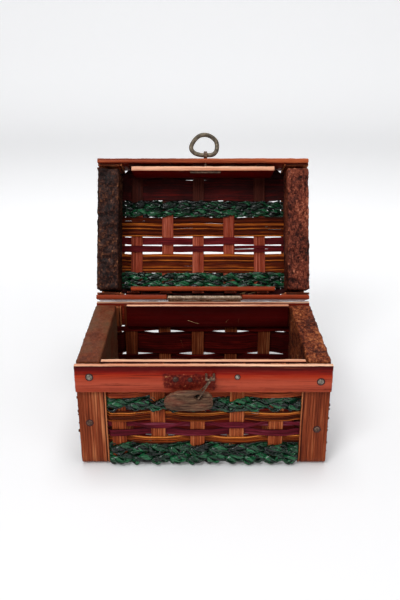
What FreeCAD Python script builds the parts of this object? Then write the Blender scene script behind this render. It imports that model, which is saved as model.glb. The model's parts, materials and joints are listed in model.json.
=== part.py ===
import FreeCAD, Part
import math
import os

V = FreeCAD.Vector
os.makedirs("parts", exist_ok=True)

# Wicker storage trunk, millimetres. +X right, -Y front, +Z up.
# The base stands on z = 0 with its middle on the origin. Everything is drawn
# with the lid shut; pieces that ride on the lid are then turned to the open pose.

# ---------------------------------------------------------------- overall
box_width = 180.0            # across the outer faces of the end boards
plank_length = 104.0         # end boards, front to back
base_height = 84.5           # floor to the rim of the base
lid_height = 35.0            # rim of the lid to its top
seam_gap = 0.4               # between the two rims when the lid is shut
open_angle = 115.0           # lid rest pose, measured from shut

# ---------------------------------------------------------------- end boards
base_board_t = 17.5
lid_board_t = 19.0
base_board_corner = 3.0      # rounding of the two lower corners
lid_board_corner = 3.0       # rounding of the two upper corners

# ---------------------------------------------------------------- slat rails
rail_t = 4.0
base_rail_h = 21.0
lid_rail_h = 30.0
inner_rail_t = 4.0
inner_rail_end_gap = 0.2     # between an inner rail and the board beside it
inner_rail_seat = 0.3        # between an inner rail and the stakes
back_rail_short = 8.0        # the base's back inner rail stops short at its left end
lid_inner_rail_short = 10.0  # the lid's inner rails stop short at both ends

# ---------------------------------------------------------------- woven panel
panel_t = 4.0                # from the end board's face to the outer rail's back
strand_t = 1.2               # stakes and flat weavers
lay_gap = 0.1                # between layers of the weave
stake_w = 10.5
stake_pitch = 28.3
stake_shift = -4.5           # middle stake, from the centre plane
stake_top_gap = 1.0          # below the rim
lid_stake_w = 10.0
lid_stake_pitch = 27.2
lid_stake_shift = -4.2
stake_count = 5
row_gap = 0.4                # between neighbouring rows
twine_bulge = 3.6            # half thickness of a twined row
twine_wave = 0.35            # swell of its plies along the row
twine_waves = 4              # swells from end to end
window_gap = 0.3             # beside a stake, where it passes through a twined row
stake_lap = 0.6              # a flat row runs straight this far past a stake
tail_root = 2.0              # how far a twined row's tail reaches into the row
tail_len = 6.5               # how far a row runs over an end board

# ---------------------------------------------------------------- cover strips
cover_w = 20.3
cover_t = 1.9
cover_top_gap = 2.5          # below the rim
cover_inset = 0.5            # from the end board's outer face

# ---------------------------------------------------------------- nails
nail_head_r = 2.2
nail_head_h = 1.1
nail_r = 0.7
nail_len = 14.0
nail_fit = 0.05
# each nail: name, side, in from the box's side, below the rim, through the rail
NAILS = [
    ("nail_rail_left", -1, 10.5, 9.0, True),
    ("nail_rail_right", 1, 8.5, 12.5, True),
    ("nail_strip_left", -1, 8.0, 48.0, False),
    ("nail_strip_right", 1, 8.2, 53.5, False),
]

# ---------------------------------------------------------------- butt hinge
hinge_len = 61.5
hinge_x = 1.2                # middle of the hinge
hinge_in = 1.5               # barrel axis in front of the back face, in the lid's notch
hinge_up = 3.6               # barrel axis above the base rim
barrel_r = 1.9
hinge_pin_r = 0.9
hinge_pin_fit = 0.06
leaf_t = 0.8
leaf_h = 15.0
leaf_clear = 3.8             # both leaves and the notch's roof start this far from the axis
knuckle_gap = 0.3
knuckle_count = 5
notch_gap = 0.5              # beside the pin's ends, in the lid's back rail
leaf_nail_r = 1.5
leaf_nail_h = 0.7
leaf_nail_in = 4.5           # from the leaf's free edge
leaf_nails = 3
hinge_pin_proud = 0.6        # beyond the barrel at each end

# ---------------------------------------------------------------- latch ring
ring_wire_r = 1.85
ring_width = 26.4
ring_reach = 21.5            # beyond the rail's face when it stands out
ring_x = 0.6
ring_low_bend = 4.0          # bend between the ring's straight bar and its sides
cotter_x = 2.0
cotter_up = 3.5              # above the lid's rim
eye_fit = 0.07
eye_wall = 1.35
eye_len = 3.0
eye_clear = 0.1              # between the eye and the rail
cotter_leg_r = 1.0
cotter_hole_fit = 0.05
cotter_leg_t = 1.2
cotter_leg_w = 2.2
cotter_leg_left = 13.0
cotter_leg_right = 13.0

# ---------------------------------------------------------------- staple, link, toggle
staple_r = 0.8
staple_x = 4.3
staple_half = 2.6
staple_down = 6.5            # legs below the rim
staple_reach = 8.3           # crown axis in front of the rail
staple_clinch = 5.0
link_r = 0.5
toggle_len = 33.8
toggle_h = 14.5
toggle_t = 7.6
toggle_x = -10.55
toggle_top = 17.7            # below the rim
toggle_gap = 1.8             # between the rail and the toggle
toggle_hole_x = -3.7
toggle_hole_down = 2.5       # hole below the toggle's top
toggle_hole_r = 1.4
# the toggle's outline: place along its length and size there, both as shares
TOGGLE_SECTIONS = [(-0.5, 0.80), (-0.43, 0.93), (-0.2, 1.0), (0.2, 1.0), (0.43, 0.93), (0.5, 0.80)]

# ---------------------------------------------------------------- rows of the weave
# each row: name, its share of the panel's height, which stakes it passes outside of (1 to 5)
FRONT_ROWS = [
    ("front_strip_top", 7.2, (1, 3, 5)),
    ("front_twine_1", 9.4, "twine"),
    ("front_reed_1", 8.0, (1, 3, 5)),
    ("front_splint_1", 5.4, (2, 4)),
    ("front_splint_2", 5.4, (1, 3, 5)),
    ("front_reed_2", 5.4, (2, 4)),
    ("front_twine_2", 7.4, "twine"),
    ("front_twine_3", 7.2, "twine"),
]
BACK_ROWS = [
    ("back_strip_1", 4.4, (2, 4)),
    ("back_strip_2", 19.4, (1, 3, 5)),
    ("back_strip_3", 19.4, (2, 4)),
    ("back_strip_4", 9.4, (1, 3, 5)),
]
LID_ROWS = [
    ("lid_strip", 19.4, (1, 3, 5)),
    ("lid_twine_1", 14.0, "twine"),
    ("lid_reed_1", 17.0, (2, 4)),
    ("lid_splint_1", 7.0, (1, 3, 5)),
    ("lid_splint_2", 7.6, (2, 4)),
    ("lid_reed_2", 16.6, (1, 3, 5)),
    ("lid_twine_2", 14.0, "twine"),
]
FLOOR_ROWS = [
    ("floor_band_1", (2, 4)),
    ("floor_band_2", (1, 3, 5)),
    ("floor_band_3", (2, 4)),
]
rows_under_rail = 0.8        # how far the top row tucks behind the rail
front_foot = 2.6             # lowest edge of the front rows
back_foot = 7.0              # lowest edge of the back rows
corner_tuck = 4.0            # how far the lid's corner strip tucks behind the rail

# ---------------------------------------------------------------- derived places
half_w = box_width / 2
half_p = plank_length / 2
face_y = half_p + panel_t                       # back of the outer rails
out_y = face_y + rail_t                         # outer face of the outer rails
wrap_t = strand_t * 3 + lay_gap * 3             # weave thickness under a board
base_board_z = wrap_t                           # underside of the base's boards
lid_rim_z = base_height + seam_gap
lid_board_z = lid_rim_z + lid_height - wrap_t   # top of the lid's boards
panel_mid = strand_t * 1.5 + lay_gap * 2        # middle plane of the weave
lay_pitch = strand_t + lay_gap
d_under = panel_mid - lay_pitch                 # weaver behind a stake
d_over = panel_mid + lay_pitch                  # weaver in front of a stake
base_open_w = half_w - base_board_t             # half the space between boards
lid_open_w = half_w - lid_board_t
cover_in = half_w - cover_inset - cover_w       # inner edge of a cover strip
inner_back = half_p + panel_mid - strand_t / 2 - inner_rail_seat
inner_y = inner_back - inner_rail_t             # inner faces of the inner rails
hinge_y = out_y - hinge_in
hinge_z = base_height + hinge_up

solids = {}
lid_names = []


def keep(name, shape, on_lid=False):
    shape = shape.removeSplitter()
    if shape.ShapeType == "Compound" and len(shape.Solids) == 1:
        shape = shape.Solids[0]
    solids[name] = shape
    if on_lid:
        lid_names.append(name)
    return shape


def box(x0, x1, y0, y1, z0, z1):
    return Part.makeBox(x1 - x0, y1 - y0, z1 - z0, V(x0, y0, z0))


def rod(p, q, r):
    p, q = V(*p), V(*q)
    return Part.makeCylinder(r, (q - p).Length, p, q - p)


def prism(points, sweep):
    face = Part.Face(Part.makePolygon(points + [points[0]]))
    return face.extrude(sweep)


def outline(x0, x1, grow, z_open, z_shut, corner, up):
    """Block whose closed end (floor or top) has its two edges rounded."""
    y = half_p + grow
    z = z_shut + grow if up else z_shut - grow
    block = box(x0, x1, -y, y, min(z, z_open), max(z, z_open))
    edges = []
    for e in block.Edges:
        c = e.CenterOfMass
        if abs(c.z - z) < 1e-6 and abs(abs(c.y) - y) < 1e-6:
            edges.append(e)
    r = corner + grow
    return block.makeFillet(r, edges) if r > 0.05 else block


def wrap_band(x0, x1, d0, d1, z_end, z_shut, corner, up):
    """Strip of even thickness bent round three sides of the end boards."""
    shell = outline(x0, x1, d1, z_end, z_shut, corner, up)
    return shell.cut(outline(x0 - 1, x1 + 1, d0, z_end + (-5 if up else 5), z_shut, corner, up))


def stake_xs(pitch, shift):
    mid = (stake_count - 1) / 2
    return [shift + (i - mid) * pitch for i in range(stake_count)]


base_stakes = stake_xs(stake_pitch, stake_shift)
lid_stakes = stake_xs(lid_stake_pitch, lid_stake_shift)


def ramp(x0, x1, d0, d1, steps=6):
    pts = []
    for i in range(1, steps):
        t = i / steps
        pts.append((x0 + (x1 - x0) * t, d0 + (d1 - d0) * (0.5 - 0.5 * math.cos(math.pi * t))))
    return pts


def flat_path(xs, width, over, reach):
    """Middle line of a flat weaver: (x, d) points, outside the stakes in `over`."""
    edge = width / 2 + stake_lap
    stops = [(-reach, -cover_in - lay_gap, d_under)]
    for i, x in enumerate(xs):
        d = d_over if (i + 1) in over else d_under
        stops.append((x - edge, x + edge, d))
    stops.append((cover_in + lay_gap, reach, d_under))
    pts = []
    for i, (a, b, d) in enumerate(stops):
        pts += [(a, d), (b, d)]
        if i + 1 < len(stops):
            pts += ramp(b, stops[i + 1][0], d, stops[i + 1][2])
    return pts


def ribbon(path, place, sweep):
    """Even ribbon along a path of (x, d), put in space by `place`."""
    h = strand_t / 2
    pts = [place(x, d + h) for x, d in path] + [place(x, d - h) for x, d in reversed(path)]
    return prism(pts, sweep)


def twine(xs, width, reach, place, sweep, window, tail_place, tail_sweep):
    """Twined row: bulging front and back plies with a window at each stake."""
    end = cover_in - row_gap
    steps = 15 * twine_waves
    outer = []
    inner = []
    for i in range(steps + 1):
        t = i / steps
        half = twine_bulge - twine_wave + twine_wave * math.cos(2 * math.pi * twine_waves * t)
        outer.append(place(end * (2 * t - 1), panel_mid + half))
        inner.append(place(end * (2 * t - 1), panel_mid - half))
    body = prism(outer + inner[::-1], sweep)
    h = strand_t / 2
    for side in (-1, 1):
        a, b = side * (end - tail_root), side * reach
        pts = [tail_place(x, d_under + y) for x, y in ((a, h), (b, h), (b, -h), (a, -h))]
        body = body.fuse(prism(pts, tail_sweep))
    lo, hi = window
    for x in xs:
        a, b = x - width / 2 - window_gap, x + width / 2 + window_gap
        pts = [place(a, hi), place(b, hi), place(b, lo), place(a, lo)]
        body = body.cut(prism(pts, sweep))
    return body


def nail(name, x, y, z, holes, on_lid=False):
    """Domed nail driven along +Y, its head resting on the face at y."""
    r = (nail_head_r ** 2 + nail_head_h ** 2) / (2 * nail_head_h)
    dome = Part.makeSphere(r, V(x, y + r - nail_head_h, z))
    dome = dome.common(box(x - 5, x + 5, y - nail_head_h - 1, y, z - 5, z + 5))
    shape = dome.fuse(rod((x, y - nail_head_h / 2, z), (x, y + nail_len, z), nail_r))
    keep(name, shape, on_lid)
    hole = rod((x, y - 0.5, z), (x, y + nail_len + 0.3, z), nail_r + nail_fit)
    for h in holes:
        solids[h] = solids[h].cut(hole)


# ================================================================ base
for side, name in ((-1, "left"), (1, "right")):
    x0, x1 = sorted((side * half_w, side * base_open_w))
    board = outline(x0, x1, 0.0, base_height, base_board_z, base_board_corner, False)
    keep("base_board_" + name, board)

rail_z0 = base_height - base_rail_h
keep("base_rail_front_outer", box(-half_w, half_w, -out_y, -face_y, rail_z0, base_height))
keep("base_rail_back_outer", box(-half_w, half_w, face_y, out_y, rail_z0, base_height))
inner_x = base_open_w - inner_rail_end_gap
inner_z0 = rail_z0 + rows_under_rail + row_gap
keep("base_rail_front_inner", box(-inner_x, inner_x, -inner_back, -inner_y, inner_z0, base_height))
left_x = -(inner_x - back_rail_short)
keep("base_rail_back_inner", box(left_x, inner_x, inner_y, inner_back, inner_z0, base_height))

cover_d0 = panel_mid
for side, name in ((-1, "left"), (1, "right")):
    x0, x1 = sorted((side * (half_w - cover_inset), side * cover_in))
    strip = wrap_band(x0, x1, cover_d0, cover_d0 + cover_t, base_height - cover_top_gap,
                      base_board_z, base_board_corner, False)
    keep("cover_strip_" + name, strip)

d0, d1 = panel_mid - strand_t / 2, panel_mid + strand_t / 2
base_stake_names = ["base_stake_%d" % (i + 1) for i in range(stake_count)]
for name, x in zip(base_stake_names, base_stakes):
    s = wrap_band(x - stake_w / 2, x + stake_w / 2, d0, d1, base_height - stake_top_gap,
                  base_board_z, base_board_corner, False)
    keep(name, s)

reach = base_open_w + tail_len
flat_z = base_board_z + base_board_corner       # the panel is flat above here


def wall(sign, z):
    return lambda x, d: V(x, sign * (half_p + d), z)


def row_unit(rows, space):
    """Width of one share, so that the rows and their gaps fill the space."""
    return (space - row_gap * (len(rows) - 1)) / sum(share for _, share, _ in rows)


def rows_down(rows, sign, foot):
    top = rail_z0 + rows_under_rail
    unit = row_unit(rows, top - foot)
    for name, share, kind in rows:
        tall = share * unit
        z0 = top - tall
        place = wall(sign, z0)
        sweep = V(0, 0, tall)
        if kind == "twine":
            lo = d_under + strand_t / 2
            if z0 < flat_z:
                lo -= base_board_corner
            lift = max(0.0, flat_z - z0)
            shape = twine(base_stakes, stake_w, reach, place, sweep, (lo, d_over - strand_t / 2),
                          wall(sign, z0 + lift), V(0, 0, tall - lift))
        else:
            shape = ribbon(flat_path(base_stakes, stake_w, kind, reach), place, sweep)
        keep(name, shape)
        top = z0 - row_gap


rows_down(FRONT_ROWS, -1, front_foot)
rows_down(BACK_ROWS, 1, back_foot)

floor_half = half_p - base_board_corner - row_gap
floor_w = (2 * floor_half - row_gap * (len(FLOOR_ROWS) - 1)) / len(FLOOR_ROWS)
for i, (name, over) in enumerate(FLOOR_ROWS):
    y0 = -floor_half + i * (floor_w + row_gap)
    keep(name, ribbon(flat_path(base_stakes, stake_w, over, reach),
                      lambda x, d: V(x, y0, base_board_z - d), V(0, floor_w, 0)))

# ================================================================ lid
for side, name in ((-1, "left"), (1, "right")):
    x0, x1 = sorted((side * half_w, side * lid_open_w))
    board = outline(x0, x1, 0.0, lid_rim_z, lid_board_z, lid_board_corner, True)
    keep("lid_board_" + name, board, True)

lid_rail_z1 = lid_rim_z + lid_rail_h
keep("lid_rail_front_outer", box(-half_w, half_w, -out_y, -face_y, lid_rim_z, lid_rail_z1), True)
back_rail = box(-half_w, half_w, face_y, out_y, lid_rim_z, lid_rail_z1)
notch_x = hinge_len / 2 + hinge_pin_proud + notch_gap
notch_z = hinge_z + leaf_clear
notch = box(hinge_x - notch_x, hinge_x + notch_x, face_y - 1, out_y + 1, lid_rim_z - 1, notch_z)
keep("lid_rail_back_outer", back_rail.cut(notch), True)
lid_inner_x = lid_open_w - lid_inner_rail_short
lid_inner_z1 = min(lid_rail_z1, lid_board_z - lid_board_corner)    # below the bend of the stakes
keep("lid_rail_front_inner",
     box(-lid_inner_x, lid_inner_x, -inner_back, -inner_y, lid_rim_z, lid_inner_z1), True)
keep("lid_rail_back_inner",
     box(-lid_inner_x, lid_inner_x, inner_y, inner_back, lid_rim_z, lid_inner_z1), True)

for side, name in ((-1, "left"), (1, "right")):
    x0, x1 = sorted((side * (half_w - cover_inset), side * cover_in))
    strip = wrap_band(x0, x1, cover_d0, cover_d0 + cover_t, lid_rim_z + cover_top_gap,
                      lid_board_z, lid_board_corner, True)
    keep("lid_cover_" + name, strip, True)

for i, x in enumerate(lid_stakes):
    s = wrap_band(x - lid_stake_w / 2, x + lid_stake_w / 2, d0, d1, lid_rim_z + stake_top_gap,
                  lid_board_z, lid_board_corner, True)
    keep("lid_stake_%d" % (i + 1), s, True)

lid_flat = half_p - lid_board_corner             # the top is flat this far from the middle
lid_unit = row_unit(LID_ROWS, 2 * lid_flat)
lid_reach = lid_open_w + tail_len
y0 = -lid_flat
for name, share, kind in LID_ROWS:
    wide = share * lid_unit
    place = lambda x, d: V(x, y0, lid_board_z + d)
    sweep = V(0, wide, 0)
    if kind == "twine":
        shape = twine(lid_stakes, lid_stake_w, lid_reach, place, sweep,
                      (d_under + strand_t / 2, d_over - strand_t / 2), place, sweep)
    else:
        shape = ribbon(flat_path(lid_stakes, lid_stake_w, kind, lid_reach), place, sweep)
    keep(name, shape, True)
    y0 += wide + row_gap

# the widest strip also turns down over the front corner, to behind the outer rail
tuck_z = lid_rail_z1 - corner_tuck
turn_x = cover_in - row_gap
turned = wrap_band(-turn_x, turn_x, d_over - strand_t / 2, d_over + strand_t / 2, tuck_z,
                   lid_board_z, lid_board_corner, True)
turned = turned.common(box(-turn_x, turn_x, -out_y, -lid_flat, tuck_z, lid_board_z + wrap_t + 1))
keep("lid_strip", solids["lid_strip"].fuse(turned), True)

# ================================================================ butt hinge
pitch = hinge_len / knuckle_count
x_start = hinge_x - hinge_len / 2
bore = rod((x_start - 1, hinge_y, hinge_z), (x_start + hinge_len + 1, hinge_y, hinge_z),
           hinge_pin_r + hinge_pin_fit)


def leaf(parity, up):
    z0, z1 = (hinge_z, hinge_z + leaf_h) if up else (hinge_z - leaf_h, hinge_z)
    body = box(x_start, x_start + hinge_len, out_y, out_y + leaf_t,
               hinge_z + leaf_clear if up else z0, z1 if up else hinge_z - leaf_clear)
    for k in range(knuckle_count):
        if k % 2 != parity:
            continue
        a = x_start + k * pitch + knuckle_gap / 2
        b = a + pitch - knuckle_gap
        body = body.fuse(rod((a, hinge_y, hinge_z), (b, hinge_y, hinge_z), barrel_r))
        root = leaf_clear + 1                   # the web runs a little way into its leaf
        lo, hi = (hinge_z, hinge_z + root) if up else (hinge_z - root, hinge_z)
        body = body.fuse(box(a, b, out_y, out_y + leaf_t, lo, hi))
    for k in range(leaf_nails):
        x = x_start + hinge_len * (k + 0.5) / leaf_nails
        z = hinge_z + (leaf_h - leaf_nail_in if up else leaf_nail_in - leaf_h)
        body = body.fuse(rod((x, out_y + leaf_t - 0.1, z), (x, out_y + leaf_t + leaf_nail_h, z),
                             leaf_nail_r))
    return body.cut(bore)


keep("hinge_leaf_base", leaf(0, False))
keep("hinge_leaf_lid", leaf(1, True), True)
pin_end = hinge_len / 2 + hinge_pin_proud
keep("hinge_pin", rod((hinge_x - pin_end, hinge_y, hinge_z), (hinge_x + pin_end, hinge_y, hinge_z),
                      hinge_pin_r))

# ================================================================ latch ring and its cotter
eye_r = ring_wire_r + eye_fit
eye_out = eye_r + eye_wall
ring_y = -(out_y + eye_out + eye_clear)
ring_z = lid_rim_z + cotter_up
reach_c = ring_reach - (-ring_y - out_y) - ring_wire_r
half_c = ring_width / 2 - ring_wire_r
low = ring_low_bend
side_y = reach_c - half_c


def ring_point(x, r):
    return V(ring_x + x, ring_y - r, ring_z)


def ring_bend(x, r, radius, start, sweep):
    """Part of a torus in the ring's plane, from angle start over sweep degrees."""
    p = ring_point(x + radius * math.cos(math.radians(start)), r + radius * math.sin(math.radians(start)))
    t = V(-math.sin(math.radians(start)), -math.cos(math.radians(start)), 0)
    face = Part.Face(Part.Wire([Part.makeCircle(ring_wire_r, p, t)]))
    return face.revolve(ring_point(x, r), V(0, 0, -1), sweep)


def ring_bar(x0, r0, x1, r1):
    p, q = ring_point(x0, r0), ring_point(x1, r1)
    return Part.makeCylinder(ring_wire_r, (q - p).Length, p, q - p)


ring = ring_bar(-half_c + low, 0, half_c - low, 0)
for part in (ring_bend(half_c - low, low, low, -90, 90),
             ring_bar(half_c, low, half_c, side_y),
             ring_bend(0, side_y, half_c, 0, 180),
             ring_bar(-half_c, side_y, -half_c, low),
             ring_bend(-half_c + low, low, low, 180, 90)):
    ring = ring.fuse(part)
keep("latch_ring", ring, True)

leg_y = -inner_y                                # inner face of the front inner rail
cot = rod((cotter_x - eye_len / 2, ring_y, ring_z), (cotter_x + eye_len / 2, ring_y, ring_z), eye_out)
cot = cot.fuse(rod((cotter_x, ring_y, ring_z), (cotter_x, leg_y + cotter_leg_t, ring_z), cotter_leg_r))
cot = cot.fuse(box(cotter_x - cotter_leg_left, cotter_x + cotter_leg_right, leg_y,
                   leg_y + cotter_leg_t, ring_z - cotter_leg_w / 2, ring_z + cotter_leg_w / 2))
cot = cot.cut(rod((cotter_x - eye_len, ring_y, ring_z), (cotter_x + eye_len, ring_y, ring_z), eye_r))
keep("latch_cotter", cot, True)
hole = rod((cotter_x, -out_y - 1, ring_z), (cotter_x, leg_y + 1, ring_z), cotter_leg_r + cotter_hole_fit)
for n in ("lid_rail_front_outer", "lid_rail_front_inner"):
    solids[n] = solids[n].cut(hole)

# ================================================================ staple, link and toggle
staple_z = base_height - staple_down
crown_y = -(out_y + staple_reach)
clinch_y = -inner_y + staple_r
xa, xb = staple_x - staple_half, staple_x + staple_half
st = rod((xa, crown_y, staple_z), (xb, crown_y, staple_z), staple_r)
for x, s in ((xa, -1), (xb, 1)):
    st = st.fuse(rod((x, crown_y, staple_z), (x, clinch_y, staple_z), staple_r))
    st = st.fuse(rod((x, clinch_y, staple_z), (x + s * staple_clinch, clinch_y, staple_z), staple_r))
    for y in (crown_y, clinch_y):
        st = st.fuse(Part.makeSphere(staple_r, V(x, y, staple_z)))
    st = st.fuse(Part.makeSphere(staple_r, V(x + s * staple_clinch, clinch_y, staple_z)))
    hole = rod((x, -out_y - 1, staple_z), (x, -inner_y + 1, staple_z), staple_r + nail_fit)
    for n in ["base_rail_front_outer", "base_rail_front_inner"] + base_stake_names:
        solids[n] = solids[n].cut(hole)
keep("latch_staple", st)

top_z = base_height - toggle_top
mid_z = top_z - toggle_h / 2
mid_y = -(out_y + toggle_gap + toggle_t / 2)
barrel = []
for x, k in TOGGLE_SECTIONS:
    e = Part.Ellipse(V(0, 0, 0), toggle_h / 2 * k, toggle_t / 2 * k).toShape()
    e.Placement = FreeCAD.Placement(V(toggle_x + x * toggle_len, mid_y, mid_z),
                                    FreeCAD.Rotation(V(0, 0, 1), V(0, 1, 0), V(1, 0, 0), "ZXY"))
    barrel.append(Part.Wire([e]))
tog = Part.makeLoft(barrel, True, False)
hole_z = top_z - toggle_hole_down
tog = tog.cut(rod((toggle_hole_x, mid_y - 10, hole_z), (toggle_hole_x, mid_y + 10, hole_z), toggle_hole_r))
keep("toggle", tog)

dx = toggle_hole_x - staple_x
dz = hole_z - staple_z
span = math.hypot(dx, dz)
back = -(out_y + toggle_gap) + link_r * 1.3
front = mid_y - toggle_t / 2 - link_r * 0.6
# the link's bends, as (distance from the staple towards the hole, depth): round the crown,
# through the hole from behind, and back in front of the toggle
pts = [(-2.0, crown_y), (-1.2, crown_y + 1.4), (1.0, crown_y + 1.7), (span * 0.45, crown_y + 1.9),
       (span - 3.0, back - 1.6), (span - 1.2, back), (span, back + 0.05),
       (span + 0.35, mid_y), (span, front - 0.05),
       (span - 1.2, front - 0.2), (span * 0.5, crown_y - 1.9), (1.0, crown_y - 1.7), (-1.2, crown_y - 1.4)]
bends = [(staple_x + dx / span * q, y, staple_z + dz / span * q) for q, y in pts]
link = Part.makeSphere(link_r, V(*bends[0]))
for i, p in enumerate(bends):
    q = bends[(i + 1) % len(bends)]
    link = link.fuse(rod(p, q, link_r))
    if i + 1 < len(bends):
        link = link.fuse(Part.makeSphere(link_r, V(*q)))
keep("toggle_link", link)

# ================================================================ nails
cover_face = -(half_p + cover_d0 + cover_t)
for name, side, inset, down, through_rail in NAILS:
    hand = "right" if side > 0 else "left"
    pierced = ["cover_strip_" + hand, "base_board_" + hand]
    if through_rail:
        pierced.append("base_rail_front_outer")
    nail(name, side * (half_w - inset), -out_y if through_rail else cover_face,
         base_height - down, pierced)

# ================================================================ open the lid and write the files
for name, shape in solids.items():
    if name in lid_names:
        shape = shape.copy()
        shape.rotate(V(0, hinge_y, hinge_z), V(1, 0, 0), -open_angle)
        solids[name] = shape
    shape.exportStep("parts/" + name + ".step")
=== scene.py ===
import json
import math

import bmesh
import bpy
import numpy as np
from mathutils import Matrix, Vector


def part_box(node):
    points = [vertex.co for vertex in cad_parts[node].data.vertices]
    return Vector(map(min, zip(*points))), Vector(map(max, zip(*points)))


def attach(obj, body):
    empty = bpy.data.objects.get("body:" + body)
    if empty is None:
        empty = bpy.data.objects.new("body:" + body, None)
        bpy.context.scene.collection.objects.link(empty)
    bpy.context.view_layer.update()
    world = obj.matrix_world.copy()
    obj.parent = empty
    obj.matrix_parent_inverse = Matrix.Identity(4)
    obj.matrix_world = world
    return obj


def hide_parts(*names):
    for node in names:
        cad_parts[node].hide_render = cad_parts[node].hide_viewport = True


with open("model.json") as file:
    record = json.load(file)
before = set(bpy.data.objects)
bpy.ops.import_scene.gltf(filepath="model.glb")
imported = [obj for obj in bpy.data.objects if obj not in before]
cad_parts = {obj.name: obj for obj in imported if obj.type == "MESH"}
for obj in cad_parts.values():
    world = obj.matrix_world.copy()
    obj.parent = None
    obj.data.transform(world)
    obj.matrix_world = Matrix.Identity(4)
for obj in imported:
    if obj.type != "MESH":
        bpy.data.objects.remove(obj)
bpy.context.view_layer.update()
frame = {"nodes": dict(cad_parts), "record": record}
record = frame["record"]
nodes = frame["nodes"]
MM = 0.001
rng = np.random.default_rng(7)

# ------------------------------------------------------------------ places read from the frame
joints = {j["name"]: j for j in record["behaviour"]["joints"]}
hinge = Vector(joints["lid_hinge"]["pos_m"])
open_angle = math.radians(joints["lid_hinge"]["range_deg"][1])
LID = Matrix.Translation(hinge) @ Matrix.Rotation(-open_angle, 4, "X") @ Matrix.Translation(-hinge)
UNLID = LID.inverted()
LID_BODIES = ("lid", "latch_ring")              # drawn with the lid shut, then turned open with it
LID_NODES = [node for body in LID_BODIES for node in record["behaviour"]["bodies"][body]]


def shut_box(node):
    """Box of a CAD node in mm, with the lid turned shut."""
    m = UNLID if node in LID_NODES else Matrix.Identity(4)
    pts = np.array([tuple(m @ v.co) for v in nodes[node].data.vertices]) / MM
    return pts.min(axis=0), pts.max(axis=0)


# ------------------------------------------------------------------ mesh building
UV_SLANT = 0.37                                 # keeps the strands' random places off one line


def tube_faces(n, k, closed=False):
    """Faces of n rings of k points each, with an end cap on both ends unless it is closed."""
    faces = []
    for i in range(n if closed else n - 1):
        for j in range(k):
            a, b = i * k + j, i * k + (j + 1) % k
            faces.append((a, b, (b + k) % (n * k), (a + k) % (n * k)))
    if not closed:
        faces += [tuple(range(k))[::-1], tuple((n - 1) * k + j for j in range(k))]
    return faces


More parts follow.
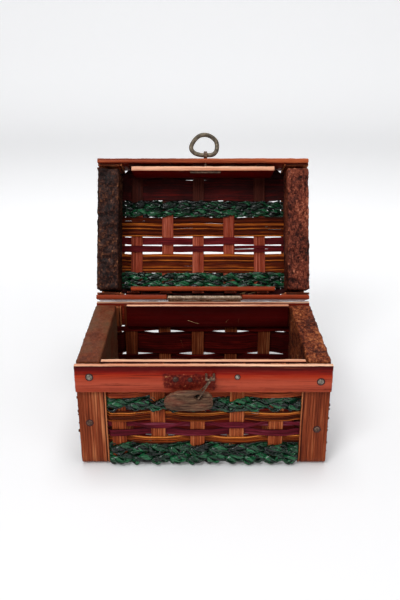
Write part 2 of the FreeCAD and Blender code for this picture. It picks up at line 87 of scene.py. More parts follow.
class Build:
    """Collects strands and blocks into one mesh, in mm of the shut trunk."""

    def __init__(self):
        self.v, self.f, self.uv, self.tone, self.shade = [], [], [], [], []
        self.n = 0

    def add(self, verts, faces, uvs, tone=0.5, shade=1.0):
        """Adds a piece; a point's tone shifts its fibres' colour and its shade, below 1, darkens it as
        painted shade.
        """
        count = len(verts)
        self.v.append(np.asarray(verts, dtype=float))
        self.f += [tuple(i + self.n for i in f) for f in faces]
        self.uv.append(np.asarray(uvs, dtype=float))
        self.tone.append(np.broadcast_to(np.asarray(tone, dtype=float), count))
        self.shade.append(np.broadcast_to(np.asarray(shade, dtype=float), count))
        self.n += count

    def sweep(self, path, across, out, section, tone=0.5, scale=None, twist=None, closed=False, dim=1.0):
        """Section points (a, b) or (a, b, shade, tone) carried along a path: a lies along
        `across` and b along `out`; `dim` darkens it along the path as painted shade."""
        path = np.asarray(path, dtype=float)
        n, k = len(path), len(section)
        across = np.broadcast_to(np.asarray(across, dtype=float), (n, 3))
        out = np.broadcast_to(np.asarray(out, dtype=float), (n, 3))
        sec = np.array([(tuple(p) + (1.0, 0.0))[:4] if len(p) == 2 else p for p in section])
        sa = np.broadcast_to(sec[:, 0], (n, k)).copy()
        sb = np.broadcast_to(sec[:, 1], (n, k)).copy()
        if scale is not None:
            scale = np.asarray(scale).reshape(n, -1)
            sa *= scale[:, :1]
            sb *= scale[:, -1:]
        if twist is not None:
            c, s = np.cos(twist)[:, None], np.sin(twist)[:, None]
            sa, sb = sa * c - sb * s, sa * s + sb * c
        verts = path[:, None, :] + sa[:, :, None] * across[:, None, :] + sb[:, :, None] * out[:, None, :]
        step = np.r_[0, np.cumsum(np.linalg.norm(np.diff(path, axis=0), axis=1))]
        girth = np.r_[0, np.cumsum(np.linalg.norm(np.diff(sec[:, :2], axis=0), axis=1))]
        shift = rng.uniform(0, 500)
        uvs = np.stack(np.broadcast_arrays(step[:, None] + shift, girth + shift * UV_SLANT), axis=-1)
        shades = np.tile(sec[:, 2], n) * np.repeat(np.broadcast_to(dim, n), k)
        self.add(verts.reshape(-1, 3), tube_faces(n, k, closed), uvs.reshape(-1, 2),
                 np.tile(tone + sec[:, 3], n), shades)

    def finish(self, name, material, body, replaces=(), slot=None):
        """Makes the object, turns it open if it belongs to the lid, and puts it on its body."""
        shut = np.concatenate(self.v) * MM
        if body in LID_BODIES:
            m = np.array(LID)
            pts = shut @ m[:3, :3].T + m[:3, 3]
        else:
            shut[:, 2] = np.maximum(shut[:, 2], 0.0)    # nothing dips below the floor
            pts = shut
        mesh = bpy.data.meshes.new(name)
        mesh.from_pydata(pts.tolist(), [], self.f)
        uv = np.concatenate(self.uv) * MM
        layer = mesh.uv_layers.new(name="fibre")
        idx = np.zeros(len(mesh.loops), dtype=np.int32)
        mesh.loops.foreach_get("vertex_index", idx)
        layer.data.foreach_set("uv", uv[idx].astype(np.float32).ravel())
        for label, data in (("tone", self.tone), ("shade", self.shade)):
            att = mesh.attributes.new(label, "FLOAT", "POINT")
            att.data.foreach_set("value", np.concatenate(data).astype(np.float32))
        att = mesh.attributes.new("local", "FLOAT_VECTOR", "POINT")
        att.data.foreach_set("vector", shut.astype(np.float32).ravel())
        mesh.polygons.foreach_set("use_smooth", [True] * len(mesh.polygons))
        mesh.update()
        bm = bmesh.new()
        bm.from_mesh(mesh)
        bmesh.ops.recalc_face_normals(bm, faces=bm.faces)
        bm.to_mesh(mesh)
        bm.free()
        obj = bpy.data.objects.new(name, mesh)
        bpy.context.scene.collection.objects.link(obj)
        obj.data.materials.append(M[material])
        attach(obj, body)
        if replaces:
            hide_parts(*replaces)


def noise1(n, knots, amp):
    """Smooth random curve of n samples through a few random knots."""
    k = rng.uniform(-1, 1, max(int(knots), 2) + 3)
    x = np.linspace(0, len(k) - 3.001, n)
    i = x.astype(int)
    t = x - i
    p0, p1, p2 = k[i], k[i + 1], k[i + 2]
    return amp * 0.5 * (p0 * (1 - t) ** 2 + p1 * (1 + 2 * t - 2 * t * t) + p2 * t * t)


def lumps(p, freq):
    """Smooth value noise at points p in mm, about -1 to 1."""
    q = p * freq
    i = np.floor(q).astype(np.int64)
    f = q - i
    f = f * f * (3 - 2 * f)
    out = np.zeros(len(p))
    for corner in np.ndindex(2, 2, 2):
        a = i + np.array(corner)
        w = np.where(corner, f, 1 - f).prod(axis=1)
        h = (a[:, 0] * 374761393 + a[:, 1] * 668265263 + a[:, 2] * 2147483647) & 0xffffffff
        h = ((h ^ (h >> 13)) * 1274126177) & 0xffffffff
        out += w * (((h ^ (h >> 16)) & 0xffff) / 32767.5 - 1)
    return out


def round_section(w, t, r):
    """Flat strip with its four corners rounded by three points each."""
    pts = []
    for cx, cy, start in ((w / 2 - r, t / 2 - r, 0), (-w / 2 + r, t / 2 - r, 90),
                          (-w / 2 + r, -t / 2 + r, 180), (w / 2 - r, -t / 2 + r, 270)):
        for turn in (0, 45, 90):
            a = math.radians(start + turn)
            pts.append((cx + r * math.cos(a), cy + r * math.sin(a)))
    return pts


def ribbed_section(w, t, ribs, depth=0.25, uneven=0.4, vary=0.25):
    """Flat strip with uneven rounded ribs on both faces, with painted shade in the grooves."""
    share = 1 + rng.uniform(-uneven, uneven, ribs)
    ends = np.r_[0, np.cumsum(share / share.sum())] * w
    top = []
    for k in range(ribs):
        tint = rng.uniform(-vary, vary)
        for u in (0.0, 0.12, 0.5, 0.88):
            crown = math.sin(math.pi * u)
            a = w / 2 - (ends[k] + (ends[k + 1] - ends[k]) * u)
            # the third value is painted shade: low in a groove, full on a rib's crown
            top.append((a, t / 2 - depth + depth * crown, 0.1 + 0.9 * min(1.0, 2 * crown), tint))
    top.append((-w / 2, t / 2 - depth, 0.1, 0.0))
    return top + [(a, -b, s, c) for a, b, s, c in reversed(top)]


def disc_section(r, sides=8, flat=1.0):
    """Round or oval strand, with painted shade darkening it towards its two sides."""
    pts = []
    for i in range(sides):
        a = 2 * math.pi * i / sides
        pts.append((r * math.cos(a), r * flat * math.sin(a), 1 - 0.75 * abs(math.cos(a)) ** 3, 0.0))
    return pts


# ------------------------------------------------------------------ sizes taken from the CAD nodes
bl = shut_box("base_board_left")
half_w, half_p = -bl[0][0], bl[1][1]
board_z, base_top = bl[0][2], bl[1][2]
base_open = -bl[1][0]
rail = shut_box("base_rail_front_outer")
out_y, face_y, rail_z0 = -rail[0][1], -rail[1][1], rail[0][2]
cover = shut_box("cover_strip_left")
cover_in, cover_w = -cover[1][0], cover[1][0] - cover[0][0]
ll = shut_box("lid_board_left")
lid_rim, lid_top, lid_open = ll[0][2], ll[1][2], -ll[1][0]
lid_flat = shut_box("lid_twine_2")[1][1]        # the lid's rows end here, front and back
STRAND = 1.2                                    # thickness of a stake
COVER_T = 1.9                                   # thickness of a cover strip
LAYER = 1.3                                     # from the stakes' middle to a weaver's
mid_d = (face_y - half_p) / 2                   # middle plane of the weave
over_d, under_d = mid_d + LAYER, mid_d - LAYER
CORNER = half_p - lid_flat                      # rounding of the boards' corners


def stake_xs(prefix):
    """Middles of the five stakes, and the width of one."""
    boxes = [shut_box("%s_%d" % (prefix, i + 1)) for i in range(5)]
    return [(lo[0] + hi[0]) / 2 for lo, hi in boxes], boxes[0][1][0] - boxes[0][0][0]


base_stakes, base_stake_w = stake_xs("base_stake")
lid_stakes, lid_stake_w = stake_xs("lid_stake")


# ------------------------------------------------------------------ materials
M = {}                                          # finished materials by name


def lin(r, g, b):
    """Linear colour of an 8-bit sRGB one."""
    def f(c):
        c /= 255
        return c / 12.92 if c <= 0.04045 else ((c + 0.055) / 1.055) ** 2.4
    return (f(r), f(g), f(b), 1)


class Nodes:
    """One Principled material and short names for its nodes; colours are 8-bit sRGB."""

    def __init__(self, name):
        self.name = name
        self.mat = bpy.data.materials.new(name)
        self.mat.use_nodes = True
        self.t = self.mat.node_tree
        self.t.nodes.clear()
        self.out = self.new("ShaderNodeOutputMaterial")
        self.bsdf = self.new("ShaderNodeBsdfPrincipled")
        self.link(self.bsdf.outputs[0], self.out.inputs[0])

    def new(self, kind, **kw):
        n = self.t.nodes.new(kind)
        for k, v in kw.items():
            setattr(n, k, v)
        return n

    def link(self, a, b):
        self.t.links.new(a, b)

    def put(self, value, socket):
        if hasattr(value, "links"):
            self.link(value, socket)
        else:
            socket.default_value = lin(*value) if isinstance(value, tuple) else value

    def coords(self, kind, scale):
        """UV and Object coordinates, or Local: places on the shut trunk, in metres."""
        if kind == "Local":
            source = self.new("ShaderNodeAttribute", attribute_name="local").outputs["Vector"]
        else:
            source = self.new("ShaderNodeTexCoord").outputs[kind]
        m = self.new("ShaderNodeMapping")
        m.inputs["Scale"].default_value = scale
        self.link(source, m.inputs[0])
        return m.outputs[0]

    def noise(self, vec, detail=4, rough=0.55):
        n = self.new("ShaderNodeTexNoise")
        n.inputs["Scale"].default_value = 1.0
        n.inputs["Detail"].default_value = detail
        n.inputs["Roughness"].default_value = rough
        self.link(vec, n.inputs["Vector"])
        return n.outputs["Fac"]

    def ramp(self, fac, stops):
        r = self.new("ShaderNodeValToRGB")
        e = r.color_ramp.elements
        while len(e) < len(stops):
            e.new(0.5)
        for el, (p, c) in zip(e, stops):
            el.position = p
            el.color = lin(*c)
        self.link(fac, r.inputs[0])
        return r.outputs[0]

    def mix(self, fac, a, b, mode="MIX"):
        m = self.new("ShaderNodeMix", data_type="RGBA", blend_type=mode)
        for v, s in ((fac, 0), (a, 6), (b, 7)):
            self.put(v, m.inputs[s])
        return m.outputs[2]

    def math(self, op, a, b):
        m = self.new("ShaderNodeMath", operation=op)
        self.put(a, m.inputs[0])
        self.put(b, m.inputs[1])
        return m.outputs[0]

    def swing(self, value, weight):
        """How far a value is from a half, times a weight."""
        return self.math("MULTIPLY", self.math("SUBTRACT", value, 0.5), weight)

    def total(self, *terms):
        """A half plus the swings of (value, weight) terms."""
        acc = 0.5
        for value, weight in terms:
            acc = self.math("ADD", self.swing(value, weight), acc)
        return acc

    def span(self, value, lo, hi, to_lo=0.0, to_hi=1.0, smooth=False):
        m = self.new("ShaderNodeMapRange")
        if smooth:
            m.interpolation_type = "SMOOTHSTEP"
        for key, v in (("From Min", lo), ("From Max", hi), ("To Min", to_lo), ("To Max", to_hi)):
            m.inputs[key].default_value = v
        self.link(value, m.inputs[0])
        return m.outputs[0]

    def attr(self, name):
        return self.new("ShaderNodeAttribute", attribute_name=name).outputs["Fac"]

    def finish(self, colour, rough, height, strength, distance, coat=0.0, coat_rough=0.15, metal=0.0,
               specular=0.5):
        """Sets the surface, with a bump of the given strength and distance in metres."""
        self.put(colour, self.bsdf.inputs["Base Color"])
        self.put(rough, self.bsdf.inputs["Roughness"])
        self.bsdf.inputs["Coat Weight"].default_value = coat
        self.bsdf.inputs["Coat Roughness"].default_value = coat_rough
        self.bsdf.inputs["Metallic"].default_value = metal
        self.bsdf.inputs["Specular IOR Level"].default_value = specular
        b = self.new("ShaderNodeBump")
        b.inputs["Strength"].default_value = strength
        b.inputs["Distance"].default_value = distance
        self.link(height, b.inputs["Height"])
        self.link(b.outputs[0], self.bsdf.inputs["Normal"])
        M[self.name] = self.mat


def strand_material(name, shade_colour, dark, mid, light, along=50, across=1100, rough=(0.5, 0.75), coat=0.0,
                    bump=0.5, metres=0.0002, spread=0.6, specular=0.08):
    """Fibres along a strand: u runs along it and v across, both in metres."""
    m = Nodes(name)
    grain = m.noise(m.coords("UV", (along, across, 1)), 5, 0.65)
    broad = m.noise(m.coords("UV", (along * 0.5, across * 0.12, 1)), 3)
    fac = m.total((grain, 1.3), (broad, 0.9), (m.attr("tone"), spread))
    colour = m.ramp(fac, [(0.12, dark), (0.5, mid), (0.88, light)])
    # painted shade: where the shade attribute is low, the painted shade colour is mixed in
    colour = m.mix(m.span(m.attr("shade"), 0.0, 0.75), shade_colour, colour)
    m.finish(colour, m.span(grain, 0.3, 0.7, *rough), grain, bump, metres, coat, specular=specular)


# a slat's lower and upper edge, and where its sawn edge begins and is full, in metres
SLATS = {"base": ((rail_z0 * MM, base_top * MM), ((base_top - 0.5) * MM, (base_top - 0.3) * MM)),
         "lid": ((lid_rim * MM, shut_box("lid_rail_front_outer")[1][2] * MM),
                 ((lid_rim + 0.5) * MM, (lid_rim + 0.3) * MM))}


def slat_material(name, where, skin, rim, patch=None, pale=(200, 104, 70), gloss=0.04):
    """Varnished bamboo slat: `skin` is a ramp up its height, `rim` two tones of its sawn edge."""
    height_span, rim_span = SLATS[where]
    m = Nodes(name)
    grain = m.noise(m.coords("Local", (26, 1100, 1100)), 6, 0.65)
    streak = m.noise(m.coords("Local", (7, 300, 300)), 4, 0.6)
    cloud = m.noise(m.coords("Local", (45, 70, 90)), 3, 0.5)
    sep = m.new("ShaderNodeSeparateXYZ")
    m.link(m.coords("Local", (1, 1, 1)), sep.inputs[0])
    up = m.math("ADD", sep.outputs[2], m.swing(streak, 0.006))
    colour = m.ramp(m.span(up, *height_span), skin)
    shade = m.total((grain, 1.6), (streak, 1.2))
    colour = m.mix(m.span(shade, 0.48, 0.1, 0.0, 0.8), colour, (44, 6, 4))
    colour = m.mix(m.span(shade, 0.6, 1.0, 0.0, 0.3), colour, pale)
    colour = m.mix(m.span(cloud, 0.6, 0.72, 0.0, 0.3), colour, (62, 12, 8))
    if patch:
        amount, rust = rusty_patch(m, sep, *patch)
        colour = m.mix(amount, colour, rust)
    edge = m.span(sep.outputs[2], *rim_span)
    rim_colour = m.mix(m.span(streak, 0.4, 0.62), *rim)
    colour = m.mix(edge, colour, m.mix(m.span(grain, 0.62, 0.35, 0.0, 0.5), rim_colour, (120, 44, 24)))
    height = m.total((grain, 1.0), (streak, 0.8))
    m.finish(colour, m.span(streak, 0.35, 0.65, 0.4, 0.6), height, 0.4, 0.0003, gloss, specular=0.08)


def rusty_patch(m, sep, across, up):
    """Amount and colour of the rust, inside a box whose edges wander."""
    blot = m.noise(m.coords("Local", (160, 160, 200)), 4, 0.6)
    wobble = m.swing(blot, 0.008)
    inside = []
    for socket, (lo, hi), soft in ((sep.outputs[0], across, 0.0006), (sep.outputs[2], up, 0.0012)):
        away = m.math("ABSOLUTE", m.math("SUBTRACT", socket, (lo + hi) / 2), 0.0)
        inside.append(m.span(m.math("ADD", away, wobble), (hi - lo) / 2 + soft, (hi - lo) / 2 - 0.0012))
    speck = m.noise(m.coords("Local", (520, 520, 520)), 5, 0.7)
    rust = m.ramp(speck, [(0.36, (40, 4, 4)), (0.52, (92, 16, 10)), (0.62, (120, 44, 26)),
                          (0.7, (196, 150, 96))])
    return m.math("MULTIPLY", m.math("MULTIPLY", *inside), 0.92), rust


def board_material(name, stops, crack=1.0, patina=None, coat=0.05):
    """Rough-sawn stained wood, torn along its grain, with an old skin on it if `patina`."""
    m = Nodes(name)
    tear = m.noise(m.coords("Local", (420, 240, 420)), 6, 0.72)
    lump = m.noise(m.coords("Local", (700, 620, 700)), 4, 0.6)
    broad = m.noise(m.coords("Local", (60, 35, 60)), 3, 0.5)
    fac = m.total((tear, 1.5 * crack), (lump, 0.9 * crack), (broad, 0.9))
    colour = m.ramp(fac, stops)
    if patina:
        colour = m.mix(m.span(broad, 0.42, 0.62, 0.0, 0.75), colour, m.mix(tear, patina, stops[0][1]))
    height = m.total((tear, 1.0), (lump, 0.8))
    m.finish(colour, m.span(tear, 0.3, 0.7, 0.9, 0.6), height, 0.9 * crack, 0.0011, coat, 0.3, specular=0.1)


def driftwood_material(name):
    """Weathered grey-brown wood, streaked along x, stained red in places."""
    m = Nodes(name)
    streak = m.noise(m.coords("Local", (80, 800, 800)), 5, 0.7)
    cloud = m.noise(m.coords("Local", (70, 120, 150)), 3, 0.5)
    fac = m.total((streak, 1.7), (cloud, 0.6))
    colour = m.ramp(fac, [(0.1, (26, 15, 11)), (0.4, (70, 46, 34)), (0.65, (108, 80, 60)),
                          (0.95, (172, 142, 112))])
    colour = m.mix(m.span(cloud, 0.5, 0.64, 0.0, 0.6), colour, (104, 46, 34))
    # painted shade: a low shade attribute, as in the toggle's hollow, darkens the wood
    colour = m.mix(m.span(m.attr("shade"), 0.0, 0.7), (12, 7, 5), colour)
    m.finish(colour, m.span(streak, 0.3, 0.7, 0.8, 0.5), streak, 0.8, 0.0006, 0.05, 0.3, specular=0.12)


def metal_material(name, dark, base, light, rough=(0.35, 0.6), scale=400, metal=0.6):
    """Old metal, mottled in two sizes."""
    m = Nodes(name)
    a = m.noise(m.coords("Object", (scale,) * 3), 6, 0.65)
    b = m.noise(m.coords("Object", (scale * 3,) * 3), 4, 0.6)
    colour = m.ramp(m.total((a, 1.4), (b, 0.7)), [(0.2, dark), (0.5, base), (0.8, light)])
    m.finish(colour, m.span(b, 0.3, 0.7, *rough), b, 0.3, 0.0002, metal=metal)


def even(edge, middle):
    """A skin that is lighter or darker halfway up."""
    return [(0.0, edge), (0.5, middle), (1.0, edge)]


# deep red glossy skin above, an orange band that is partly a painted highlight, salmon wood below
TALL_SKIN_AND_HIGHLIGHT = [(0.0, (188, 80, 46)), (0.08, (152, 58, 38)), (0.3, (180, 78, 54)), (0.48, (166, 64, 42)),
             (0.6, (172, 50, 20)), (0.7, (138, 22, 6)), (0.84, (92, 4, 2)), (1.0, (38, 0, 2))]
PALE = ((214, 140, 104), (255, 206, 172))
ORANGE = ((104, 34, 14), (168, 66, 28))
EDGE = ((110, 38, 18), (192, 100, 58))
STAIN = ((-0.0285, 0.0085), ((base_top - 18.5) * MM, (base_top - 6.5) * MM))   # rusty patch by the latch

# strands: the colour of their painted shade in grooves and at sides, then dark, middle and light fibres
strand_material("reed", (22, 4, 1), (72, 24, 6), (150, 68, 22), (214, 128, 56), spread=1.0)
strand_material("lid_reed", (14, 1, 0), (50, 10, 1), (98, 32, 6), (190, 100, 32), spread=0.9)
strand_material("stake", (40, 10, 4), (96, 34, 14), (152, 70, 36), (208, 128, 80))
strand_material("lid_stake", (30, 3, 1), (92, 28, 12), (144, 58, 36), (188, 100, 76))
strand_material("burgundy", (28, 2, 4), (58, 4, 12), (104, 24, 40), (140, 82, 98), spread=0.5)
strand_material("lid_burgundy", (20, 0, 1), (46, 1, 6), (84, 8, 14), (128, 34, 36), spread=0.4)
strand_material("red_strip", (36, 5, 2), (80, 18, 8), (128, 46, 24), (176, 84, 46))
strand_material("dark_strip", (14, 0, 0), (36, 1, 1), (70, 5, 3), (112, 24, 14), across=700)
strand_material("lid_dark", (12, 0, 0), (24, 0, 0), (46, 2, 2), (84, 12, 8), across=500, rough=(0.7, 0.9),
                specular=0.15)
strand_material("green", (0, 3, 2), (1, 9, 6), (4, 34, 19), (26, 98, 58), along=120, across=2200,
                rough=(0.16, 0.34), coat=0.25, bump=0.7, metres=0.0003, spread=1.0, specular=0.35)
strand_material("cover", (52, 17, 8), (86, 32, 16), (138, 62, 34), (196, 122, 78), along=30, across=900,
                spread=0.5)
strand_material("hair", (60, 40, 28), (96, 62, 34), (150, 106, 62), (214, 180, 130))
strand_material("bark", (20, 9, 6), (44, 20, 12), (84, 42, 26), (130, 76, 50))

# the front rail's skin holds a partly painted highlight in its orange band
slat_material("rail_front", "base", TALL_SKIN_AND_HIGHLIGHT, PALE, patch=STAIN)
slat_material("rail_back", "base", even((112, 28, 14), (144, 50, 30)), PALE)
slat_material("rail_in", "base", even((44, 1, 1), (72, 4, 3)), PALE, pale=(110, 20, 12))
slat_material("lid_in", "lid", even((84, 1, 1), (104, 4, 2)), PALE, pale=(104, 14, 8), gloss=0.05)
slat_material("lid_in_back", "lid", even((60, 3, 0), (110, 24, 10)), ORANGE, pale=(150, 50, 24))
slat_material("lid_out", "lid", even((124, 34, 18), (150, 54, 32)), EDGE)
slat_material("lid_out_back", "lid", even((118, 32, 16), (146, 52, 30)), ORANGE)

board_material("board_base_left", [(0.1, (46, 18, 8)), (0.45, (98, 46, 26)), (0.85, (158, 88, 54))], 0.45,
               patina=(98, 80, 58), coat=0.1)
board_material("board_base_right", [(0.2, (30, 11, 6)), (0.46, (88, 36, 20)), (0.64, (134, 66, 36)),
                                    (0.9, (190, 122, 76))])
board_material("board_lid_left", [(0.28, (18, 7, 6)), (0.5, (46, 22, 16)), (0.7, (82, 46, 30)),
                                  (0.92, (150, 98, 62))])
board_material("board_lid_right", [(0.28, (28, 9, 6)), (0.5, (88, 38, 26)), (0.68, (128, 62, 42)),
                                   (0.92, (190, 118, 88))])
driftwood_material("toggle")

metal_material("nail", (50, 42, 36), (126, 116, 104), (186, 178, 166))
metal_material("old_nail", (34, 18, 12), (82, 54, 40), (136, 112, 92), metal=0.4)
metal_material("rust", (28, 5, 3), (56, 11, 7), (96, 34, 20), (0.7, 0.9), 600, 0.0)
metal_material("hinge", (80, 56, 40), (146, 122, 100), (196, 180, 160))
metal_material("ring", (38, 30, 22), (88, 76, 60), (144, 130, 108), (0.4, 0.65), 300, 0.3)
metal_material("wire", (34, 20, 14), (86, 62, 46), (146, 118, 92), (0.45, 0.7), 500, 0.3)


# ------------------------------------------------------------------ end boards and slats
def plank(build, lo, hi, cell, rough, edge, torn=0.0):
    """Block with rounded edges; `rough` stands its skin up and down, `torn` its ends."""
    lo, hi = np.array(lo, float), np.array(hi, float)
    size = hi - lo
    cnt = np.maximum(2, np.round(size / cell)).astype(int)
    key, grid, faces = {}, [], []

    def vid(c):
        if c not in key:
            key[c] = len(grid)
            grid.append([c[a] / cnt[a] for a in range(3)])
        return key[c]

    for ax in range(3):
        a, b = [x for x in range(3) if x != ax]
        for end in (0, cnt[ax]):
            for i in range(cnt[a]):
                for j in range(cnt[b]):
                    quad = []
                    for di, dj in ((0, 0), (1, 0), (1, 1), (0, 1)):
                        c = [0, 0, 0]
                        c[ax], c[a], c[b] = end, i + di, j + dj
                        quad.append(vid(tuple(int(v) for v in c)))
                    faces.append(tuple(quad))
    t = np.array(grid)
    p = lo + t * size
    core = np.clip(p, lo + edge, hi - edge)
    d = p - core
    ln = np.maximum(np.linalg.norm(d, axis=1), 1e-9)[:, None]
    nrm = d / ln
    p = core + nrm * np.minimum(ln, edge)
    flat = np.abs(t - 0.5).max(axis=1) >= 0.4999
    p[flat] = (core + nrm * edge)[flat]
    skin = lumps(p, 0.2) * 0.45 + lumps(p + 31, 0.7) * 0.35 + lumps(p + 77, 1.5) * 0.2
    p = p + nrm * ((skin - 0.45) * rough)[:, None]
    if torn:
        tip = (t[:, 0] > 0.9999) * torn * (0.5 + 0.5 * lumps(p * np.array([0, 1, 1]) + 5, 1.3))
        p[:, 0] -= tip
    build.add(p, faces, np.stack([p[:, 0], p[:, 1] + p[:, 2]], axis=1))


ROUGH_CLEAR = 0.6                               # the shut boards' rough skins don't meet
for side in ("left", "right"):
    for where in ("base", "lid"):
        node = "%s_board_%s" % (where, side)
        b = Build()
        lo, hi = shut_box(node)
        if where == "lid":
            lo[2] += ROUGH_CLEAR
        plank(b, lo, hi, cell=1.1, rough=0.5 if node == "base_board_left" else 1.1, edge=1.6)
        b.finish("rough_" + node, "board_%s_%s" % (where, side), where, [node], "rough_wood")

RAILS = {"base_rail_front_outer": "rail_front", "base_rail_front_inner": "rail_in",
         "base_rail_back_outer": "rail_back", "base_rail_back_inner": "rail_in",
         "lid_rail_front_outer": "lid_out", "lid_rail_front_inner": "lid_in",
         "lid_rail_back_inner": "lid_in_back"}
SAWN = {"cell": 1.3, "rough": 0.3, "edge": 0.5}      # a slat's skin
for node, mat in RAILS.items():
    b = Build()
    plank(b, *shut_box(node), torn=1.2 if node.endswith("inner") else 0.5, **SAWN)
    b.finish("slat_" + node, mat, node.split("_")[0], [node], "varnished_slat")

# the lid's back slat is notched over the hinge barrel
lo, hi = shut_box("lid_rail_back_outer")
pin_lo, pin_hi = shut_box("hinge_pin")
NOTCH_SIDE, NOTCH_TOP = 0.2, 3.9                # clear of the pin's ends and above its axis
BRIDGE_LAP, BRIDGE_INSET = 1.5, 0.05            # the piece over the notch laps the others, inside their faces
b = Build()
for x0, x1, z0, inset, torn in (
        (lo[0], pin_lo[0] - NOTCH_SIDE, lo[2], 0.0, 0.4), (pin_hi[0] + NOTCH_SIDE, hi[0], lo[2], 0.0, 1.6),
        (pin_lo[0] - BRIDGE_LAP, pin_hi[0] + BRIDGE_LAP, hinge.z / MM + NOTCH_TOP, BRIDGE_INSET, 0.0)):
    plank(b, (x0, lo[1] + inset, z0), (x1, hi[1] - inset, hi[2] - inset), torn=torn, **SAWN)
b.finish("slat_lid_rail_back_outer", "lid_out_back", "lid", ["lid_rail_back_outer"], "varnished_slat")


# ------------------------------------------------------------------ bands bent round the boards
def wrap_path(z_end, z_shut, d, up, step=2.0):
    """Points and outward normals in the YZ plane, from the front end to the back end."""
    s = 1 if up else -1
    pts, nor = [], []
    zc = z_shut - s * CORNER
    yc = half_p - CORNER
    r = CORNER + d

    def line(p, q, normal):
        n = max(2, int(math.hypot(q[0] - p[0], q[1] - p[1]) / step))
        for i in range(n):
            t = i / n
            pts.append((p[0] + (q[0] - p[0]) * t, p[1] + (q[1] - p[1]) * t))
            nor.append(normal)

    def bend(sign, start, stop):
        for a in np.linspace(start, stop, 7):
            pts.append((sign * (yc + r * math.cos(a)), zc + s * r * math.sin(a)))
            nor.append((sign * math.cos(a), s * math.sin(a)))

    line((-(half_p + d), z_end), (-(half_p + d), zc), (-1, 0))
    bend(-1, 0, math.pi / 2)
    line((-yc + 1, z_shut + s * d), (yc - 1, z_shut + s * d), (0, s))
    bend(1, math.pi / 2, 0)
    line((half_p + d, zc), (half_p + d, z_end), (1, 0))
    pts.append((half_p + d, z_end))
    nor.append((1, 0))
    return np.array(pts), np.array(nor)


def wrapped(node, section, d, mat, slot, name, wobble=0.15, dim=None):
    """A band bent round the base or the lid at depth d, wandering a little in x and width."""
    up = node.startswith("lid")
    lo, hi = shut_box(node)
    yz, nor = wrap_path(lo[2] if up else hi[2], lid_top if up else board_z, d, up)
    n = len(yz)
    path = np.column_stack([(lo[0] + hi[0]) / 2 + noise1(n, n / 14, wobble), yz])
    out = np.column_stack([np.zeros(n), nor])
    b = Build()
    b.sweep(path, (1, 0, 0), out, section, tone=rng.uniform(0.35, 0.65), scale=1 + noise1(n, n / 8, 0.02),
            dim=np.interp(yz[:, 0], *dim) if dim else 1.0)
    b.finish(name, mat, "lid" if up else "base", [node], slot)


# painted shade: the stakes are darker under the base and behind it, and by the lid's front edge, where they
# lie in shade
BASE_SHADE = ((-half_p - 1, -half_p + 4), (1.0, 0.4))
twine_end = shut_box("lid_twine_1")[1][1]
LID_SHADE = ((-half_p, twine_end - 4, twine_end + 1), (0.1, 0.1, 1.0))
for i in range(1, 6):
    wrapped("base_stake_%d" % i, ribbed_section(base_stake_w, STRAND, 6), mid_d, "stake",
            "stake_splint", "splint_base_stake_%d" % i, dim=BASE_SHADE)
    wrapped("lid_stake_%d" % i, ribbed_section(lid_stake_w, STRAND, 7), mid_d, "lid_stake",
            "stake_splint", "splint_lid_stake_%d" % i, dim=LID_SHADE)


def cover_section(inner_side):
    """Broad ribs, with a raised pale thread and a groove along the inner edge; the groove is painted shade.
    """
    edging = 2.0                                # width that the thread and the groove take
    ribs = ribbed_section(cover_w - edging, COVER_T, 9, 0.16, 0.5, 0.2)
    k = len(ribs) // 2
    body = [(a - inner_side * edging / 2, t, s, c) for a, t, s, c in ribs]
    e = inner_side * (cover_w / 2 - 0.9)
    thread = [(e + inner_side * 0.7, COVER_T / 2, 1.0, 0.6), (e, COVER_T / 2, 1.0, 0.5),
              (e - inner_side * 0.5, COVER_T / 2 - 0.5, 0.0, -0.3)]
    under = [(a, -b, s, c) for a, b, s, c in reversed(thread)]
    if inner_side > 0:
        return thread + body + under
    return body[:k] + thread[::-1] + under[::-1] + body[k:]


for side, sign in (("left", 1), ("right", -1)):
    for node, name in (("cover_strip_", "splint_cover_"), ("lid_cover_", "splint_lid_cover_")):
        wrapped(node + side, cover_section(sign), mid_d + COVER_T / 2, "cover", "cover_splint",
                name + side, 0.2)


# ------------------------------------------------------------------ rows of the weave
class Wall:
    """One face of the panel: maps x, depth and the place across the rows to space."""

    TAIL = 5.5                                  # a row runs this far over an end board
    LAP = 0.6                                   # and straight this far past a stake
    # a point of the boards' face, the way out of it, and the way across its rows
    FACES = {"front": ((0, -half_p, 0), (0, -1, 0), (0, 0, 1)),
             "back": ((0, half_p, 0), (0, 1, 0), (0, 0, 1)),
             "floor": ((0, 0, board_z), (0, 0, -1), (0, 1, 0)),
             "lid": ((0, 0, lid_top), (0, 0, 1), (0, 1, 0))}

    def __init__(self, kind):
        self.origin, self.out, self.across = np.array(self.FACES[kind], dtype=float)
        self.body = "lid" if kind == "lid" else "base"
        self.stakes = lid_stakes if kind == "lid" else base_stakes
        self.width = lid_stake_w if kind == "lid" else base_stake_w
        self.reach = (lid_open if kind == "lid" else base_open) + self.TAIL

    def at(self, x, d, s):
        x, d, s = (v[:, None] for v in np.broadcast_arrays(x, d, s))
        return self.origin + x * (1, 0, 0) + d * self.out + s * self.across

    def span(self, node):
        lo, hi = shut_box(node)
        return lo @ self.across, hi @ self.across

    def depth(self, x, over):
        """Depth of a weaver at x: outside the stakes in `over`, behind the others."""
        edge = self.width / 2 + self.LAP
        far = 2 * half_w
        knots = [(-far, under_d), (-cover_in - 0.1, under_d)]
        for i, sx in enumerate(self.stakes):
            d = over_d if (i + 1) in over else under_d
            knots += [(sx - edge, d), (sx + edge, d)]
        knots += [(cover_in + 0.1, under_d), (far, under_d)]
        kx, kd = np.array(knots).T
        i = np.clip(np.searchsorted(kx, x) - 1, 0, len(kx) - 2)
        t = (x - kx[i]) / (kx[i + 1] - kx[i])
        return kd[i] + (kd[i + 1] - kd[i]) * (0.5 - 0.5 * np.cos(np.pi * t))


SAMPLES = 170                                   # points along a row
ODD, EVEN = (1, 3, 5), (2, 4)                   # the stakes that a weaver passes outside of


